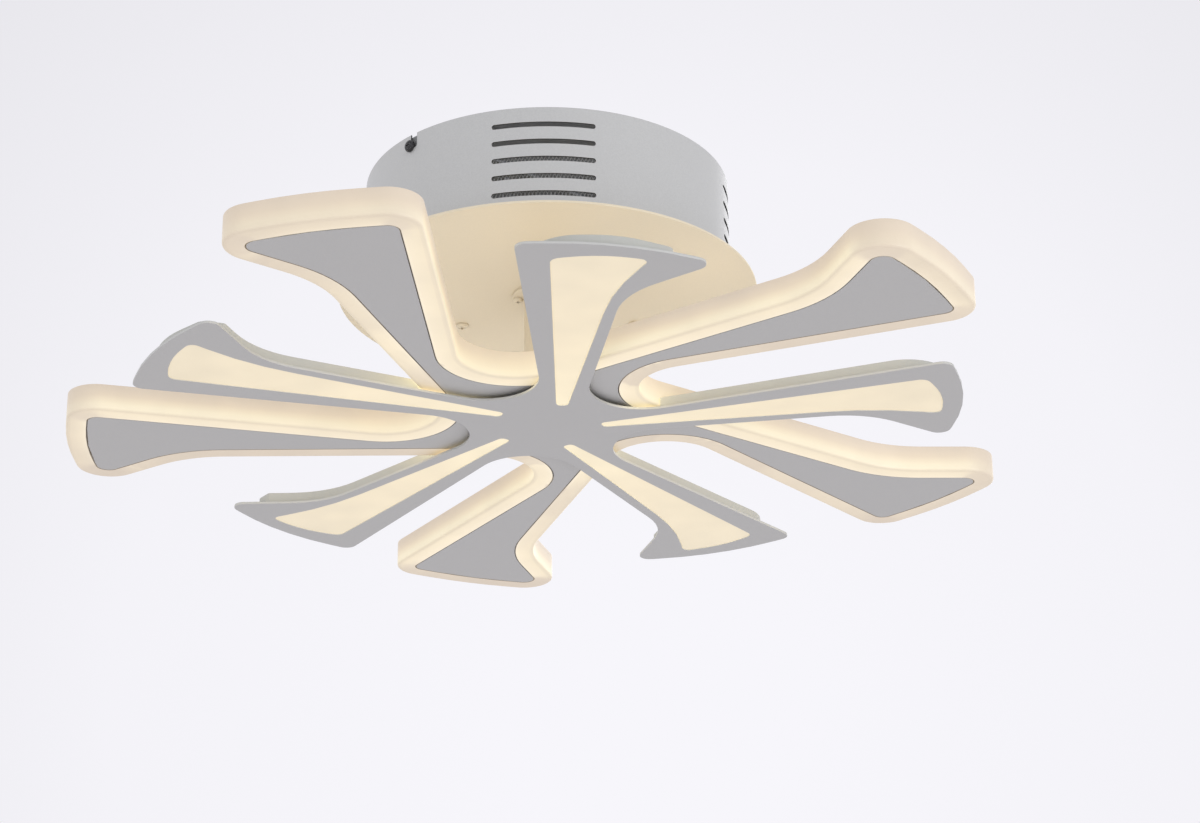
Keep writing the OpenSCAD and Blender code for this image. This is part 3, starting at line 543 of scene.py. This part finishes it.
def rounded(corners, between=14):
    """The outline's points, the same number for any growth, some of them on the straight runs."""
    step = math.radians(5)
    runs = []
    for i, (x, y, r) in enumerate(corners):
        e = towards(corners[i - 1], (x, y))
        f = towards((x, y), corners[(i + 1) % len(corners)])
        turn = math.atan2(crossing(e, f), e.dot(f))
        start = Vector((x, y)) - e * r * math.tan(abs(turn) / 2)
        centre = start + Vector((-e.y, e.x)) * math.copysign(r, turn)
        steps = max(4, math.ceil(abs(turn) / step))
        runs.append([centre + Vector(turned(start - centre, turn * j / steps))
                     for j in range(steps + 1)])
    points = []
    for run, following in zip(runs, runs[1:] + runs[:1]):
        points += run
        points += [run[-1].lerp(following[0], (j + 1) / (between + 1)) for j in range(between)]
    return points


print("a square has", len(rounded([(0, 0, 1), (9, 0, 1), (9, 9, 1), (0, 9, 1)])), "points")

# %% Outline of the metal star
arm_turn = math.tau / ARMS
straight_corner = (342.0, 129.0)
straight_way = towards((163, 14), straight_corner)
bend = turned((303.7, 41.3), arm_turn)
curve_way = towards(turned((100, -27), arm_turn), bend)
gap = Vector(bend) - Vector(straight_corner)
step_out = straight_way * crossing(gap, curve_way) / crossing(straight_way, curve_way)
hollow = Vector(straight_corner) + step_out

# The end of an arm is a shallow arch over the line from one corner to the other. It is drawn as
# one blunt corner, rounded so far that little of its straight sides is left.
flared_corner, arch = (387.7, 16.3), 7.25
arch_rounding = 0.59
end_way = towards(flared_corner, straight_corner)
end_half = (Vector(straight_corner) - Vector(flared_corner)).length / 2
peak = Vector(flared_corner) + end_way * end_half + Vector((end_way.y, -end_way.x)) * arch
arch_radius = arch_rounding * end_half ** 2 / arch

arm = [(*straight_corner, 8), (hollow.x, hollow.y, 62), (*bend, 110),
       (*turned(flared_corner, arm_turn), 9), (*turned(peak, arm_turn), arch_radius)]
metal_star = [(*turned(c, k * arm_turn), c[2]) for k in range(ARMS) for c in arm]
print("corners of the metal star", len(metal_star), "points", len(rounded(metal_star)))

# %% Section of the shell, ring by ring
UNDERSIDE = -203.0
# (growth from the metal star's edge, height above the underside, glow number)
SECTION = [
    # the groove along the metal star, and the flat underside
    (0.3, 1.5, 0.0), (0.3, 0.6, 0.02), (0.9, 0.0, 0.05), (1.3, 0.0, 0.08), (4, 0, 0.15),
    (9, 0, 0.3), (13.6, 0, 0.42),
    # the rounded lower edge
    (15.2, 0.08, 0.45), (16.0, 0.35, 0.47), (16.6, 0.85, 0.49), (16.9, 1.5, 0.51), (17, 2.3, 0.53),
    # the wall
    (17, 4.5, 0.57), (17, 7, 0.63), (17, 10, 0.7), (17, 13, 0.78), (17, 16.5, 0.88), (17, 20, 0.96),
    # the upper edge, and the step that takes the base plate
    (17, 21.6, 0.98), (16.9, 21.9, 1), (16.6, 22, 1), (15.7, 22, 1), (15.5, 21.8, 1),
    (15.5, 20.1, 1),
    # the inside
    (14, 20, 1), (14, 3.2, 1)]
print("rings", len(SECTION))

# %% [markdown]
# ## Where the boards' light reaches
# The boards inside end a little way in from the metal star's edge. A corner of the shell is
# further from them than a straight wall, so it gets less light, and so does the end wall of an arm.
# Each point of the shell therefore carries a second number, its share of the light, which also
# holds painted shade on the rim's sides away from the room's front.

# %% Distance from the boards
BOARDS_IN = 15.0


def resampled(points, step):
    """The closed outline with points added, so that no two are further apart than step."""
    out = []
    for a, b in zip(points, points[1:] + points[:1]):
        parts = max(1, math.ceil((b - a).length / step))
        out += [a.lerp(b, i / parts) for i in range(parts)]
    return out


board_edge = resampled(rounded(grown(metal_star, -BOARDS_IN), 0), 2.0)
nearest = KDTree(len(board_edge))
for i, p in enumerate(board_edge):
    nearest.insert((*p, 0), i)
nearest.balance()
print("points along the boards", len(board_edge))

# %% Share of the light at a point
CORNER_LOSS, CORNER_RUN = 0.55, 0.15
TIP_LOSS, TIP_START, TIP_RUN = 0.5, 362, 30
# How much painted shade the rim gets on its sides away from the room's front
BACK_PAINTED_SHADE, RIM = 0.9, 16


def smooth(x):
    """0 up to x = 0 and 1 from x = 1 on, with a soft start and end."""
    x = min(1.0, max(0.0, x))
    return x * x * (3 - 2 * x)


def share_of_light(point, growth):
    """1 beside a straight run of the boards; less at a corner, round an arm's tip, and in painted
    shade.
    """
    spot, _, distance = nearest.find((*point, 0))
    corner = smooth((distance / (growth + BOARDS_IN) - 1.0) / CORNER_RUN)
    tip = smooth((point.length - TIP_START) / TIP_RUN)
    share = (1 - CORNER_LOSS * corner) * (1 - TIP_LOSS * tip)
    # Painted shade: the rim is darker on its sides away from the room's front
    away = turned((point[0] - spot.x, point[1] - spot.y), STAR_TURN)[1] / distance
    return share * (1 - BACK_PAINTED_SHADE * max(0.0, away)) if growth < RIM else share


print("share at the straight corner", round(share_of_light(Vector(straight_corner), 17), 2))

# %% Glow number near the hub
BRIGHT_BAND = 0.62
HUB_REACH, HUB_RUN, HUB_PULL = 180, 100, 0.6


def wall_number(level, point):
    """The glow number: the wall's upper part moves towards the bright band near the hub."""
    near = min(1.0, max(0.0, (HUB_REACH - point.length) / HUB_RUN))
    return level - HUB_PULL * near * (level - BRIGHT_BAND) if level > BRIGHT_BAND else level


print("top of the wall at the hub", round(wall_number(1.0, Vector((60, 0))), 3))


# %% The shell's mesh
def lofted_shell(name, section):
    """Quads between the rings, and a cap over the first and the last one."""
    points, faces, glow, lit = [], [], [], []
    for growth, rise, level in section:
        for p in rounded(grown(metal_star, growth)):
            x, y = turned(p, STAR_TURN)
            points.append((x / 1000, y / 1000, (UNDERSIDE + rise) / 1000))
            glow.append(wall_number(level, p))
            lit.append(share_of_light(p, growth))
    n = len(points) // len(section)
    for ring in range(len(section) - 1):
        for i in range(n):
            a, b = ring * n + i, ring * n + (i + 1) % n
            faces.append((a, a + n, b + n, b))
    faces.append(tuple(range(n)))
    faces.append(tuple(range((len(section) - 1) * n, len(section) * n))[::-1])
    mesh = bpy.data.meshes.new(name)
    mesh.from_pydata(points, [], faces)
    form = bmesh.new()
    form.from_mesh(mesh)
    for label, values in (("glow", glow), ("lit", lit)):
        layer = form.verts.layers.float.new(label)
        for v, level in zip(form.verts, values):
            v[layer] = level
    bmesh.ops.remove_doubles(form, verts=form.verts, dist=1e-7)
    bmesh.ops.recalc_face_normals(form, faces=form.faces)
    form.to_mesh(mesh)
    form.free()
    shell = bpy.data.objects.new(name, mesh)
    bpy.context.scene.collection.objects.link(shell)
    return shell


frosted_shell = lofted_shell("frosted_shell", SECTION)
for face in frosted_shell.data.polygons:
    face.use_smooth = len(face.vertices) == 4
frosted_shell.data.set_sharp_from_angle(angle=math.radians(32))
print("shell faces", len(frosted_shell.data.polygons))

# %% [markdown]
# ## Finish of the lit acrylic
# Frosted acrylic with LEDs behind it looks bright all over, and its tone shows where the light
# comes from. An emission colour from a ramp does that more plainly than light traced through the
# wall, and it is the same in every render. The acrylic's own colour stays under it, with a fine
# frost, and the narrow groove along the metal is dark, as dust and shade make it.

# %% Recipe for lit acrylic
def lit_acrylic(name, body, glow_stops, source, near, far, tip, share=None, dull=None,
                groove=None):
    """Frosted acrylic with light in it. source drives the glow's colour; where share is below 1,
    the glow turns to the dull colour of corners that the boards don't reach, and of painted shade
    on the rim's back sides. groove is the number up to which the acrylic lies in the shaded groove
    along the metal."""
    made, tree, bsdf = finish(name)
    place = add(tree, "ShaderNodeTexCoord").outputs["Object"]
    cloud = add(tree, "ShaderNodeTexNoise", Vector=place, Scale=40.0, Detail=2.0).outputs[0]
    darker = tuple(c * 0.97 for c in body)
    base = ramp(tree, cloud, [(0.35, darker), (0.65, body)])
    if groove:
        shaded = ramp(tree, source(tree), [(groove, (0.16, 0.15, 0.14)),
                                           (groove + 0.02, (1, 1, 1))])
        base = mix_colours(tree, 1.0, base, shaded, "MULTIPLY")
    tree.links.new(base, bsdf.inputs["Base Color"])
    level = math_node(tree, "ADD", math_node(tree, "MULTIPLY", cloud, 0.1), 0.33)
    tree.links.new(level, bsdf.inputs["Roughness"])
    frost = add(tree, "ShaderNodeTexNoise", Vector=place, Scale=1600.0, Detail=1.0)
    line = place_group(tree, edge_line, Width=0.0005, Strength=0.0)
    relief = add(tree, "ShaderNodeBump", Strength=0.05, Distance=RELIEF, Height=frost.outputs[0],
                 Normal=line.outputs["Normal"])
    tree.links.new(relief.outputs[0], bsdf.inputs["Normal"])

    colour = ramp(tree, source(tree), glow_stops)
    if share:
        colour = mix_colours(tree, share(tree), (*dull, 1), colour)
    # The lit faces are far brighter than a picture shows, so what they throw on their
    # neighbours counts more than what the camera sees
    thrown_more = 5.0
    thrown = add(tree, "ShaderNodeLightPath").outputs["Is Diffuse Ray"]
    more = math_node(tree, "ADD", math_node(tree, "MULTIPLY", thrown, thrown_more), 1.0)
    light = place_group(tree, acrylic_light, Near=near, Far=far, Tip_Level=tip)
    strength = math_node(tree, "MULTIPLY", light.outputs["Level"], more)
    glow = vector_math(tree, "SCALE", colour, strength)
    tree.links.new(glow, bsdf.inputs["Emission Color"])
    bsdf.inputs["Emission Strength"].default_value = 1.0
    return made


def carried(label):
    """A number that the shell's points carry."""
    return lambda tree: add(tree, "ShaderNodeAttribute", {"attribute_name": label}).outputs["Fac"]


print("numbers on the shell", [a.name for a in frosted_shell.data.attributes
                               if a.data_type == "FLOAT"])

# %% Dress the shell
acrylic_body = (0.50, 0.45, 0.39)
# The dull colour is the glow of corners that the boards don't reach, and painted shade on the rim's
# back sides
dull_glow_and_shade = (0.17, 0.125, 0.072)
groove_number = 0.05
shell_stops = [
    # the groove and the flat underside
    (groove_number, (0.02, 0.015, 0.01)), (groove_number + 0.03, (0.47, 0.41, 0.27)),
    (0.15, (0.44, 0.375, 0.225)), (0.40, (0.41, 0.345, 0.195)),
    # the rounded lower edge, then the bright band above it
    (0.47, (0.29, 0.24, 0.13)), (0.53, (0.44, 0.39, 0.245)), (0.60, (0.42, 0.37, 0.225)),
    # the upper wall
    (0.68, (0.36, 0.295, 0.17)), (0.78, (0.275, 0.21, 0.12)), (1.0, (0.18, 0.132, 0.087))]
lit_shell = lit_acrylic("lit_shell", acrylic_body, shell_stops, carried("glow"), near=0.1,
                        far=0.42, tip=0.94, share=carried("lit"), dull=dull_glow_and_shade,
                        groove=groove_number)
frosted_shell.data.materials.append(lit_shell)
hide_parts("acrylic_star")
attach(frosted_shell, "lamp")
print("lit shell on", frosted_shell.name)

# %% [markdown]
# ## The lit windows
# Behind each window lies a frosted sheet with a board of LEDs above it. The sheet is brightest near
# the hub, where the window is narrow and its walls throw the light back. The CAD sheets have the
# right shape, so they stay, and the glow is read from the distance to the stem.

# %% Finish of the windows
window_body = (0.50, 0.45, 0.35)
window_reach = 0.4


def along_window(tree):
    """0 at the stem and 1 at the reach of the windows."""
    return math_node(tree, "MULTIPLY", stem_distance(tree), 1 / window_reach)


window_stops = [(0.1, (0.45, 0.39, 0.245)), (0.4, (0.40, 0.335, 0.215)),
                (0.8, (0.345, 0.295, 0.2))]
lit_window = lit_acrylic("lit_window", window_body, window_stops, along_window, near=0.05,
                         far=0.33, tip=0.97)
print("window finish", lit_window.name)

# %% [markdown]
# ## The woven band behind the vents
# Three rows of slots have a fine wire mesh behind them, which keeps insects off the driver. Each
# wire is a short slanted piece of a helix, so Geometry Nodes bends one wire, sets a copy at every
# step round the drum, and does it again with the slant reversed. The copies are made real at the
# end, because a finished piece is one plain mesh.

# %% Inputs of the woven band's tree
def geometry_tree(name, inputs):
    """A geometry tree with named inputs (name, kind, default) and one geometry output."""
    tree = bpy.data.node_groups.new(name, "GeometryNodeTree")
    for label, kind, default in inputs:
        made = tree.interface.new_socket(label, in_out="INPUT", socket_type=kind)
        if default is not None:
            made.default_value = default
    tree.interface.new_socket("Geometry", in_out="OUTPUT", socket_type="NodeSocketGeometry")
    return tree


BAND_INPUTS = [
    ("Radius", NUMBER, 0.147), ("Bottom", NUMBER, -0.08), ("Top", NUMBER, -0.04),
    ("Wires", "NodeSocketInt", 300), ("Wire Radius", NUMBER, 0.0002), ("Slant", NUMBER, 0.28),
    ("Wire Finish", "NodeSocketMaterial", None)]
print("inputs", [label for label, _, _ in BAND_INPUTS])


# %% The tree of the woven band
def slanted_wire(tree, given, side):
    """One wire: a thin line up the wall, turned more and more about the stem as it rises."""
    inward = math_node(tree, "MULTIPLY", given["Wire Radius"], 0.0 if side > 0 else 1.6)
    ring = math_node(tree, "SUBTRACT", given["Radius"], inward)
    low = add(tree, "ShaderNodeCombineXYZ", X=ring, Z=given["Bottom"]).outputs[0]
    high = add(tree, "ShaderNodeCombineXYZ", X=ring, Z=given["Top"]).outputs[0]
    wire = add(tree, "GeometryNodeCurvePrimitiveLine", Start=low, End=high).outputs[0]
    wire = add(tree, "GeometryNodeResampleCurve", Curve=wire, Count=6).outputs[0]
    rise = add(tree, "GeometryNodeSplineParameter").outputs["Factor"]
    angle = math_node(tree, "MULTIPLY", rise, given["Slant"])
    angle = math_node(tree, "MULTIPLY", angle, float(side))
    spot = add(tree, "GeometryNodeInputPosition").outputs[0]
    twisted = add(tree, "ShaderNodeVectorRotate", {"rotation_type": "Z_AXIS"}, Vector=spot,
                  Angle=angle).outputs[0]
    wire = add(tree, "GeometryNodeSetPosition", Geometry=wire, Position=twisted).outputs[0]
    profile = add(tree, "GeometryNodeCurvePrimitiveCircle", Resolution=3,
                  Radius=given["Wire Radius"]).outputs["Curve"]
    return add(tree, "GeometryNodeCurveToMesh", Curve=wire, Profile_Curve=profile,
               Fill_Caps=True).outputs[0]


def set_round(tree, given, wire):
    """Copies of the wire, one at every step round the stem."""
    seats = add(tree, "GeometryNodeMeshLine", Count=given["Wires"], Offset=(0, 0, 0)).outputs[0]
    index = add(tree, "GeometryNodeInputIndex").outputs[0]
    step = math_node(tree, "DIVIDE", math.tau, given["Wires"])
    turn = add(tree, "ShaderNodeCombineXYZ", Z=math_node(tree, "MULTIPLY", index, step))
    return add(tree, "GeometryNodeInstanceOnPoints", Points=seats, Instance=wire,
               Rotation=turn.outputs[0]).outputs[0]


def woven_band_tree():
    """Wires that slant one way, and the same again the other way, a little further in."""
    tree = geometry_tree("woven_band", BAND_INPUTS)
    given = tree.nodes.new("NodeGroupInput").outputs
    joined = add(tree, "GeometryNodeJoinGeometry")
    for side in (1, -1):
        copies = set_round(tree, given, slanted_wire(tree, given, side))
        tree.links.new(copies, joined.inputs[0])
    real = add(tree, "GeometryNodeRealizeInstances", Geometry=joined.outputs[0]).outputs[0]
    dressed = add(tree, "GeometryNodeSetMaterial", Geometry=real,
                  Material=given["Wire Finish"]).outputs[0]
    out = tree.nodes.new("NodeGroupOutput")
    tree.links.new(dressed, out.inputs["Geometry"])
    return tree


band_tree = woven_band_tree()
print("nodes in the band's tree", len(band_tree.nodes))


# %% The woven band
def grown_by_nodes(name, tree, values):
    """Runs a geometry tree on an empty mesh and returns the plain result."""
    holder = bpy.data.objects.new(name + "_maker", bpy.data.meshes.new(name + "_maker"))
    bpy.context.scene.collection.objects.link(holder)
    modifier = holder.modifiers.new(name, "NODES")
    modifier.node_group = tree
    for item in tree.interface.items_tree:
        if item.in_out == "INPUT" and item.name in values:
            modifier[item.identifier] = values[item.name]
    shown = bpy.context.evaluated_depsgraph_get()
    mesh = bpy.data.meshes.new_from_object(holder.evaluated_get(shown))
    mesh.name = name
    holder.modifiers.clear()
    bpy.data.objects.remove(holder)
    piece = bpy.data.objects.new(name, mesh)
    bpy.context.scene.collection.objects.link(piece)
    return piece


wire_radius = 0.0003
low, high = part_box("vent_screen")
woven_band = grown_by_nodes("woven_band", band_tree, {
    "Radius": high.x - wire_radius, "Bottom": low.z + wire_radius, "Top": high.z - wire_radius,
    "Wires": 320, "Wire Radius": wire_radius, "Slant": 0.14, "Wire Finish": mesh_wire})
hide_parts("vent_screen")
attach(woven_band, "lamp")
print("woven band faces", len(woven_band.data.polygons))

# %% [markdown]
# ## Finishes on the CAD pieces
# All other solids have the real shape already. They keep their meshes, and each gets its finish
# through its material slot.

# %% Dress the CAD pieces
DRESS = {
    "ceiling_bracket": zinc_with_painted_shade, "side_screws": black_screw, "earth_screw": brass_screw,
    "canopy_drum": drum_silver, "cover_plate": warm_lit_cover_paint, "cover_nuts": plated_steel,
    "led_driver": driver_painted_shade, "driver_screws": warm_lit_cover_paint, "driver_nuts": plated_steel,
    "terminal_block": terminal_ivory, "mains_lead": lead_white, "output_lead": lead_white,
    "stem": warm_lit_cover_paint, "stem_screws": warm_lit_cover_paint, "stem_nuts": plated_steel,
    "inlay_star": star_silver, "base_plate": back_white, "base_screws": plated_steel,
    "junction_block": terminal_ivory, "star_leads": lead_white, "framed_plate": star_silver,
    "tray_screws": plated_steel, "tray_leads": lead_white, "gap_sleeves": plated_steel,
    "hub_sleeves": plated_steel, "hub_nuts": plated_steel}
for k in range(1, ARMS + 1):
    DRESS.update({f"star_board_{k}": board_white, f"tray_board_{k}": board_white,
                  f"window_{k}": lit_window, f"tray_{k}": tray_grey})

for name, material in DRESS.items():
    piece = node[name]
    if not piece.material_slots:
        piece.data.materials.append(None)
    for material_slot in piece.material_slots:
        material_slot.material = material
print("dressed", len(DRESS), "nodes, left", sorted(set(node) - set(DRESS)))
